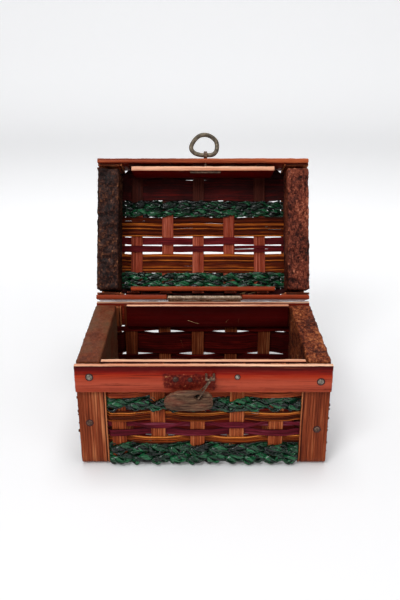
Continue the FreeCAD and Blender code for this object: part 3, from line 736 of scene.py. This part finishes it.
def flat_row(wall, node, over, mat, slot, name=None, strips=1, gap=0.15, ribs=0, cross=0.0, span=None,
             waver=0.25, also=None):
    """Flat weavers side by side; with `cross` two of them change places along the row, and
    `also` adds to the row's mesh."""
    s0, s1 = span or wall.span(node)
    x = np.linspace(-wall.reach, wall.reach, SAMPLES)
    pitch = wall.stakes[1] - wall.stakes[0]
    thick = 0.9
    b = Build()
    h = (s1 - s0) / strips
    for k in range(strips):
        side = k - (strips - 1) / 2
        s = s0 + h * (k + 0.5) + noise1(SAMPLES, 9, waver)
        d = wall.depth(x, over) + noise1(SAMPLES, 12, 0.06)
        if cross:
            swing = np.cos(np.pi * (x - wall.stakes[0]) / pitch)
            s = (s0 + s1) / 2 + side * h * swing * cross + noise1(SAMPLES, 9, waver)
            d = d + side * 0.3
        sec = ribbed_section(h - gap, thick, ribs, 0.12) if ribs else round_section(h - gap, thick, 0.3)
        b.sweep(wall.at(x, d, s), wall.across, wall.out, sec, tone=rng.uniform(0.2, 0.8),
                scale=1 + noise1(SAMPLES, 14, 0.05))
    if also:
        also(b)
    b.finish(name or "weave_" + node, mat, wall.body, [node], slot)


def reed_row(wall, node, over, mat, slot, reeds, fat=1.0, waver=0.3, name=None):
    """Thin round reeds side by side, woven as one band."""
    s0, s1 = wall.span(node)
    x = np.linspace(-wall.reach, wall.reach, SAMPLES)
    b = Build()
    h = (s1 - s0) / reeds
    for k in range(reeds):
        s = s0 + h * (k + 0.5) + noise1(SAMPLES, 7, waver)
        d = wall.depth(x + rng.uniform(-0.8, 0.8), over) + noise1(SAMPLES, 10, 0.15)
        r = h / 2 * rng.uniform(0.86, 1.04) * fat
        b.sweep(wall.at(x, d, s), wall.across, wall.out, disc_section(r, 8, min(1.0, 0.7 / r)),
                tone=rng.uniform(0.0, 1.0) ** 1.5, scale=1 + noise1(SAMPLES, 10, 0.1))
    b.finish(name or "weave_" + node, mat, wall.body, [node], slot)


def twine_row(wall, node, fill, core, cords=1, slack=0.4, hairs=16):
    """Two plies that cross between the stakes, each a twist of flat glossy blades; the
    core is loose blades that run on behind the cover strips."""
    s0, s1 = wall.span(node)
    pitch = wall.stakes[1] - wall.stakes[0]
    n, blades = 300, 8                          # points along a blade, and blades in a ply
    end = cover_in - 0.6
    x = np.linspace(-end, end, n)
    b = Build()
    each = (s1 - s0) / cords
    ply_deep = 1.15                             # half depth of a ply
    lift = STRAND / 2 + ply_deep + 0.25
    for c in range(cords):
        mid = s0 + each * (c + 0.5) + noise1(n, 6, slack)
        phase = 2 * np.pi * (x - wall.stakes[0]) / pitch + math.pi * c + noise1(n, 8, 0.5)
        for ply in (0, 1):
            face = np.cos(phase + math.pi * ply)        # 1 in front of the panel, -1 behind it
            rise = np.sin(phase + math.pi * ply)
            d = mid_d + lift * np.sign(face) * np.abs(face) ** 0.6
            s = mid + rise * each * 0.2
            high = each * (0.27 + 0.13 * np.abs(face)) * fill
            for k in range(blades):
                turn = 2 * np.pi * (x / rng.uniform(19, 24) + k / blades) + noise1(n, 10, 0.8)
                ru = high * 0.72 * (1 + noise1(n, 16, 0.2))
                ro = ply_deep * 0.72 * (1 + noise1(n, 16, 0.25))
                off = (np.cos(turn) * ru)[:, None] * wall.across + (np.sin(turn) * ro)[:, None] * wall.out
                wide = each * rng.uniform(0.13, 0.19) * fill
                b.sweep(wall.at(x, d, s) + off, wall.across, wall.out, disc_section(wide, 6, 0.32),
                        tone=rng.uniform(0.0, 1.0), twist=turn + math.pi / 2,
                        scale=np.clip(1 + noise1(n, 22, 0.5), 0.45, 1.6))
    xc = np.linspace(-wall.reach, wall.reach, n)
    for k in range(core):
        s = s0 + (s1 - s0) * (k + 0.5) / core + noise1(n, 14, 0.5 * (s1 - s0) / core)
        d = wall.depth(xc, (EVEN, ODD)[k % 2]) + noise1(n, 12, 0.1)
        b.sweep(wall.at(xc, d, s), wall.across, wall.out,
                disc_section((s1 - s0) / core * rng.uniform(0.42, 0.6), 6, 0.3), tone=rng.uniform(0.0, 0.7),
                scale=np.clip(1 + noise1(n, 30, 0.5), 0.5, 1.4))
    for _ in range(hairs):
        i = rng.integers(10, n - 10)
        side = rng.choice([-1, 1])
        t = np.linspace(0, 1, 10)
        ln, ang = rng.uniform(3, 8), rng.uniform(-0.6, 0.6)
        hx = x[i] + ln * t * math.cos(ang) * rng.choice([-1, 1])
        hd = mid_d + side * (3.0 + 1.2 * np.sin(np.pi * 0.7 * t))
        hs = (s0 + s1) / 2 + rng.uniform(-0.4, 0.4) * (s1 - s0) + ln * t * math.sin(ang)
        b.sweep(wall.at(hx, hd, hs), wall.across, wall.out, disc_section(0.17, 5), tone=rng.uniform(0.4, 1),
                scale=1 - 0.7 * t)
    b.finish("weave_" + node, "green", wall.body, [node], "green_seagrass")


front, back, under, top = Wall("front"), Wall("back"), Wall("floor"), Wall("lid")


def corner_band(build, sign=-1):
    """A dark strip turned down over the lid's front corner, or its back one if `sign` is 1, to
    behind the outer rail; its ends sink in behind the cover strips."""
    turn_r, half_t = CORNER + over_d, 0.5
    drop = shut_box("lid_strip")[0][2] - (lid_top - CORNER)
    arc = [(math.sin(a) * turn_r, math.cos(a) * turn_r, a) for a in np.linspace(0, math.pi / 2, 9)]
    arc.append((turn_r, drop, math.pi / 2))
    upper, lower = ([(y + math.sin(a) * half, z + math.cos(a) * half) for y, z, a in arc]
                    for half in (half_t, -half_t))
    xs = np.linspace(-top.reach, top.reach, 90)
    shrink = (CORNER + under_d) / turn_r
    scale = np.interp(np.abs(xs), (cover_in - 3.0, cover_in - 0.3), (1.0, shrink))
    path = top.at(xs, -CORNER, sign * lid_flat)
    build.sweep(path, (0, sign, 0), (0, 0, 1), upper + lower[::-1], tone=0.4, scale=scale)


BURGUNDY = "burgundy_splint"
flat_row(front, "front_strip_top", ODD, "red_strip", "red_strip", "weave_front_strip", strips=2, ribs=3)
twine_row(front, "front_twine_1", fill=1.15, core=2)
reed_row(front, "front_reed_1", ODD, "reed", "reed_band", 6, fat=0.9)
flat_row(front, "front_splint_1", EVEN, "burgundy", BURGUNDY, strips=2, cross=0.9, gap=0.5)
flat_row(front, "front_splint_2", ODD, "burgundy", BURGUNDY, ribs=2, gap=0.5)
reed_row(front, "front_reed_2", EVEN, "reed", "reed_band", 5, fat=0.9)
twine_row(front, "front_twine_2", fill=1.4, core=3, slack=0.8, hairs=26)
twine_row(front, "front_twine_3", fill=1.4, core=3, slack=0.6, hairs=26)
flat_row(back, "back_strip_1", EVEN, "dark_strip", "red_strip", "weave_back_1", ribs=3)
flat_row(back, "back_strip_2", ODD, "dark_strip", "red_strip", "weave_back_2", ribs=10, gap=0.8)
flat_row(back, "back_strip_3", EVEN, "dark_strip", "red_strip", "weave_back_3", strips=2, ribs=5)
reed_row(back, "back_strip_4", ODD, "reed", "red_strip", 6, name="weave_back_4")
for i, over in enumerate((EVEN, ODD, EVEN), 1):
    flat_row(under, "floor_band_%d" % i, over, "dark_strip", "red_strip", "weave_floor_%d" % i, strips=3,
             ribs=6)
flat_row(top, "lid_strip", ODD, "lid_dark", "red_strip", ribs=10,
         span=(-lid_flat, shut_box("lid_twine_1")[0][1] - 0.4), also=corner_band)
b = Build()
corner_band(b, 1)
b.finish("weave_lid_back_corner", "lid_dark", "lid", slot="red_strip")
twine_row(top, "lid_twine_1", fill=1.3, core=5, cords=2)
reed_row(top, "lid_reed_1", EVEN, "lid_reed", "reed_band", 16, fat=1.34, waver=0.2)
for i, over, spare in ((1, ODD, 0.0), (2, EVEN, 1.6)):
    s0, s1 = top.span("lid_splint_%d" % i)
    flat_row(top, "lid_splint_%d" % i, over, "lid_burgundy", BURGUNDY, strips=2, ribs=3, gap=0.0,
             span=(s0 + 0.5, s1 - spare), waver=0.4)
reed_row(top, "lid_reed_2", ODD, "lid_reed", "reed_band", 16, fat=1.34, waver=0.2)
twine_row(top, "lid_twine_2", fill=1.3, core=5, cords=2)


# ------------------------------------------------------------------ nails, fibres and stubs
def paint(names, mat):
    """Gives CAD nodes that stay in sight a material."""
    for n in names:
        mats = nodes[n].data.materials
        mats.clear()
        mats.append(M[mat])


paint(["nail_rail_left", "nail_rail_right"], "nail")
paint(["nail_strip_left", "nail_strip_right"], "old_nail")
paint(["hinge_leaf_base", "hinge_leaf_lid", "hinge_pin"], "hinge")
paint(["latch_cotter", "latch_staple", "toggle_link"], "wire")


def turned(build, x, y, z, profile):
    """Round form on an axis along -Y from (x, y, z): profile of (radius, height)."""
    sides = 20
    verts = []
    for r, h in profile:
        for i in range(sides):
            a = 2 * math.pi * i / sides
            verts.append((x + r * math.cos(a), y - h, z + r * math.sin(a)))
    build.add(verts, tube_faces(len(profile), sides), [(v[0], v[2]) for v in verts])


def nail_ring(name, r, x, y, z):
    """Sunken, stained rim round a nail."""
    b = Build()
    turned(b, x, y, z, [(r - 0.2, -0.3), (r - 0.2, 0.12), (r + 0.25, 0.2), (r + 0.7, 0.05), (r + 0.7, -0.3)])
    b.finish(name, "rust", "base")


for n in ("nail_rail_left", "nail_rail_right", "nail_strip_left", "nail_strip_right"):
    lo, hi = shut_box(n)
    face = -out_y if "rail" in n else -(half_p + mid_d + COVER_T)
    nail_ring("ring_" + n, (hi[0] - lo[0]) / 2, (lo[0] + hi[0]) / 2, face, (lo[2] + hi[2]) / 2)

# three small nails hold the front slats together: material, place, below the rim, head radius
SMALL_NAILS = (("old_nail", -19.7, 10.6, 1.5), ("old_nail", -9.5, 10.9, 1.2), ("nail", 23.4, 8.8, 1.5))
for i, (mat, x, down, r) in enumerate(SMALL_NAILS, 1):
    b = Build()
    z = base_top - down
    turned(b, x, -out_y, z, [(r, -0.4), (r, 0.25), (r * 0.86, 0.55), (r * 0.5, 0.8), (r * 0.12, 0.88)])
    b.finish("small_nail_%d" % i, mat, "base")
    nail_ring("ring_small_nail_%d" % i, r, x, -out_y, z)


def fibre(build, start, heading, length, curl):
    """One loose fibre that thins towards its tip and bends down by `curl`."""
    t = np.linspace(0, 1, 12)
    p = np.array(start) + np.outer(t * length, heading)
    p = p + np.outer(curl * t ** 2, (0.3, 0.2, -1.0))
    build.sweep(p, (0, 1, 0), (0, 0, 1), disc_section(0.14, 5), tone=0.7, scale=1 - 0.6 * t)


b = Build()
wall_y = shut_box("base_rail_back_inner")[0][1] - 0.3
# place, below the rim, heading across and up, length
for x, down, dx, dz, ln in ((-13, 13, 0.8, -0.2, 12), (19, 15, 0.25, 0.5, 9), (-19, 31, 0.3, -0.9, 8),
                            (44, 54, 0.9, 0.3, 9), (30, 11, -0.2, -0.9, 6)):
    fibre(b, (x, wall_y, base_top - down), (dx, -0.2, dz), ln, rng.uniform(-1, 2))
b.finish("fibres_base", "hair", "base")
b = Build()
for x, dx in ((31, 0.8), (33, 0.5), (38, 0.9), (35, -0.4)):
    fibre(b, (x, face_y - 0.3, lid_rim + 0.8), (dx, -0.3, -0.02), rng.uniform(4, 8), rng.uniform(-0.6, 0.0))
b.finish("fibres_lid", "hair", "lid")

# torn ends of the weavers stick out past the cover strips
for where, z_lo, z_hi in (("base", board_z + 6, rail_z0 - 2), ("lid", lid_rim + 6, lid_top - 4)):
    b = Build()
    for sign in (-1,) * 7 + (1,) * 7:
        z = rng.uniform(z_lo, z_hi)
        x = np.linspace(half_w - 3, half_w + rng.uniform(0.2, 0.9), 6) * sign
        path = front.at(x, rng.uniform(0.2, 0.9), z)
        b.sweep(path, (0, 1, 0), (0, 0, 1), disc_section(rng.uniform(0.6, 1.1), 7),
                scale=1 + noise1(6, 3, 0.4))
    b.finish("stubs_" + where, "bark", where)


# ------------------------------------------------------------------ latch ring and toggle
def ring_loop():
    """Pear-shaped loop of bent wire through the cotter's eye, points listed in its own plane."""
    lo, hi = shut_box("latch_ring")
    wire_r = (hi[2] - lo[2]) / 2
    mid_x, pivot_y, pivot_z = (lo[0] + hi[0]) / 2, hi[1] - wire_r, (lo[2] + hi[2]) / 2
    eye_lo, eye_hi = shut_box("latch_cotter")
    eye = (eye_lo[0] + eye_hi[0]) / 2 - mid_x
    # across, outwards, and a little out of plane
    loop = [(eye - 1.6, 0, 0), (eye + 1.6, 0, 0), (7.8, 0.6, 0.1), (10.6, 3.6, 0.3), (11.3, 8.0, 0.3),
            (10.3, 12.2, 0.1), (7.2, 15.3, -0.2), (3.6, 17.1, -0.3), (-0.4, 17.5, -0.2), (-4.4, 16.3, 0.1),
            (-8.0, 12.9, 0.3), (-10.5, 8.3, 0.3), (-10.4, 4.6, 0.1), (-7.6, 1.7, 0), (-3.4, 0.3, 0)]
    pts = np.array(loop, dtype=float)
    n, per = len(pts), 8
    out = []
    for i in range(n):
        p0, p1, p2, p3 = (pts[(i + k) % n] for k in (-1, 0, 1, 2))
        for j in range(per):
            t = j / per
            out.append(0.5 * (2 * p1 + (p2 - p0) * t + (2 * p0 - 5 * p1 + 4 * p2 - p3) * t * t
                              + (3 * p1 - p0 - 3 * p2 + p3) * t ** 3))
    p = np.array(out)
    path = np.column_stack([mid_x + p[:, 0], pivot_y - p[:, 1], pivot_z + p[:, 2]])
    tan = np.roll(path, -1, axis=0) - np.roll(path, 1, axis=0)
    tan /= np.linalg.norm(tan, axis=1)[:, None]
    side = np.cross(tan, (0, 0, 1))
    side /= np.linalg.norm(side, axis=1)[:, None]
    section = [(wire_r * math.cos(a), wire_r * math.sin(a)) for a in np.linspace(0, 2 * math.pi, 17)[:-1]]
    b = Build()
    b.sweep(path, side, np.cross(side, tan), section, closed=True)
    b.finish("wire_ring", "ring", "latch_ring", ["latch_ring"], "ring_metal")


ring_loop()


def whittled_toggle():
    """Barrel cut by knife from a twig: chamfered ends, a humped top, a torn hole with painted shade in it."""
    lo, hi = shut_box("toggle")
    size, mid = hi - lo, (lo + hi) / 2
    hole_x, hole_z = -3.7, hi[2] - 2.5          # where the link goes through
    hole_w, hole_h, hole_deep = 2.9, 1.7, 2.6   # the torn hollow round it
    hump, square = 1.2, 2.6                     # height above the middle, and how boxy it is
    n, k = 90, 64
    u = np.linspace(-1, 1, n)
    prof = np.interp(np.abs(u), [0, 0.45, 0.75, 0.92, 1.0], [1.0, 0.98, 0.9, 0.74, 0.5])
    top_prof = hump * np.interp(u, [-1, -0.9, -0.72, -0.45, 0, 0.55, 0.82, 0.94, 1],
                                [0.25, 0.5, 0.76, 0.93, 1.0, 0.96, 0.84, 0.62, 0.4])
    a = np.linspace(0, 2 * math.pi, k + 1)[:-1]
    ca, sa = np.cos(a), np.sin(a)
    sq = (np.abs(ca) ** square + np.abs(sa) ** square) ** (-1 / square)
    rings = []
    for i in range(n):
        h = np.where(sa > 0, top_prof[i], prof[i]) * size[2] / 2 * sq * sa
        d = prof[i] * size[1] / 2 * sq * ca
        rings.append(np.column_stack([np.full(k, mid[0] + u[i] * size[0] / 2), mid[1] - d, mid[2] + h]))
    p = np.concatenate(rings)
    away = (p - mid) * (0, 1, 1)
    away /= np.maximum(np.linalg.norm(away, axis=1), 1e-6)[:, None]
    grooves = lumps(p * np.array([0.12, 1.1, 1.1]), 1.0)
    p = p + away * (-0.35 + 0.3 * grooves + 0.15 * lumps(p, 0.9))[:, None]
    q = np.hypot((p[:, 0] - hole_x) / hole_w, (p[:, 2] - hole_z) / hole_h)
    deep = np.clip(1.15 - q, 0, 1) * (p[:, 1] < mid[1])
    p[:, 1] += np.minimum(deep * 7, hole_deep)
    # painted shade: the hollow darkens the deeper it goes
    shade = np.clip(1 - deep * 2.2, 0, 1)
    b = Build()
    b.add(p, tube_faces(n, k), p[:, [0, 2]], shade=shade)
    b.finish("whittled_toggle", "toggle", "toggle", ["toggle"], "toggle_wood")


whittled_toggle()


# ------------------------------------------------------------------ floor, light, camera
FLOOR_GREY = (0.8, 0.8, 0.81, 1)
FAR_LIFT = (-0.1, 0.7, 0.09, 0.42)              # from and to this y, the glow goes from and to this strength
BACK_LIFT = (1.2, 2.1, 0.0, 0.17)               # and this much more where the backdrop curves up
WORLD_STRENGTH = 0.22
AIM = (0, 0, 0.08)                              # the lamps point here


def studio():
    """Pale floor that curves up into a backdrop; what the camera or gloss sees of it glows
    a little, more towards the back, so that it goes white there."""
    size, back, bend, tall = 5.0, 1.5, 1.2, 6.0
    prof = [(-size, 0.0), (back, 0.0)]
    for i in range(1, 17):
        a = math.pi / 2 * i / 16
        prof.append((back + bend * math.sin(a), bend - bend * math.cos(a)))
    prof.append((back + bend, tall))
    mesh = bpy.data.meshes.new("floor")
    mesh.from_pydata([(x, y, z) for y, z in prof for x in (-size, size)], [],
                     [(2 * i, 2 * i + 1, 2 * i + 3, 2 * i + 2) for i in range(len(prof) - 1)])
    mesh.polygons.foreach_set("use_smooth", [True] * len(mesh.polygons))
    o = bpy.data.objects.new("studio_floor", mesh)
    bpy.context.scene.collection.objects.link(o)
    m = Nodes("floor")
    m.bsdf.inputs["Base Color"].default_value = FLOOR_GREY
    m.bsdf.inputs["Roughness"].default_value = 0.85
    rays = m.new("ShaderNodeLightPath")
    seen = m.math("MAXIMUM", rays.outputs["Is Camera Ray"],
                  m.math("MAXIMUM", rays.outputs["Is Glossy Ray"], rays.outputs["Is Transmission Ray"]))
    sep = m.new("ShaderNodeSeparateXYZ")
    m.link(m.new("ShaderNodeTexCoord").outputs["Object"], sep.inputs[0])
    far = m.span(sep.outputs[1], *FAR_LIFT, smooth=True)
    high = m.span(sep.outputs[1], *BACK_LIFT, smooth=True)
    m.bsdf.inputs["Emission Color"].default_value = lin(252, 253, 255)
    m.link(m.math("MULTIPLY", seen, m.math("ADD", far, high)), m.bsdf.inputs["Emission Strength"])
    mesh.materials.append(m.mat)

    world = bpy.data.worlds.new("studio")
    bpy.context.scene.world = world
    world.use_nodes = True
    sky = world.node_tree.nodes["Background"]
    sky.inputs[0].default_value = (1, 1, 1, 1)
    sky.inputs[1].default_value = WORLD_STRENGTH

    def area(name, loc, size, power):
        d = bpy.data.lights.new(name, "AREA")
        d.shape = "RECTANGLE"
        d.size, d.size_y = size
        d.energy = power
        lamp = bpy.data.objects.new(name, d)
        lamp.location = loc
        lamp.rotation_euler = (Vector(AIM) - Vector(loc)).to_track_quat("-Z", "Y").to_euler()
        bpy.context.scene.collection.objects.link(lamp)

    area("key", (-0.5, -0.95, 1.15), (0.5, 0.5), 11)
    area("fill", (0.8, -0.9, 0.8), (0.7, 0.7), 3)
    area("top", (0, 0.1, 1.5), (0.8, 0.8), 12)


studio()

# the camera: its lens in mm, its place from the front rail's face and rim in metres, its dip in degrees
SENSOR, LENS = 36, 42.1
CAM_SIDE, CAM_BACK, CAM_UP, CAM_DIP = -0.00264, 0.4319, 0.2213, 21.77
edge_lo, edge_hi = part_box("base_rail_front_outer")
cam_data = bpy.data.cameras.new("camera")
cam = bpy.data.objects.new("camera", cam_data)
bpy.context.scene.collection.objects.link(cam)
cam_data.sensor_width = SENSOR
cam_data.lens = LENS
cam.location = ((edge_lo[0] + edge_hi[0]) / 2 + CAM_SIDE, edge_lo[1] - CAM_BACK, edge_hi[2] + CAM_UP)
cam.rotation_euler = (math.radians(90 - CAM_DIP), 0, 0)
bpy.context.scene.camera = cam
bpy.context.scene.view_settings.view_transform = "Standard"
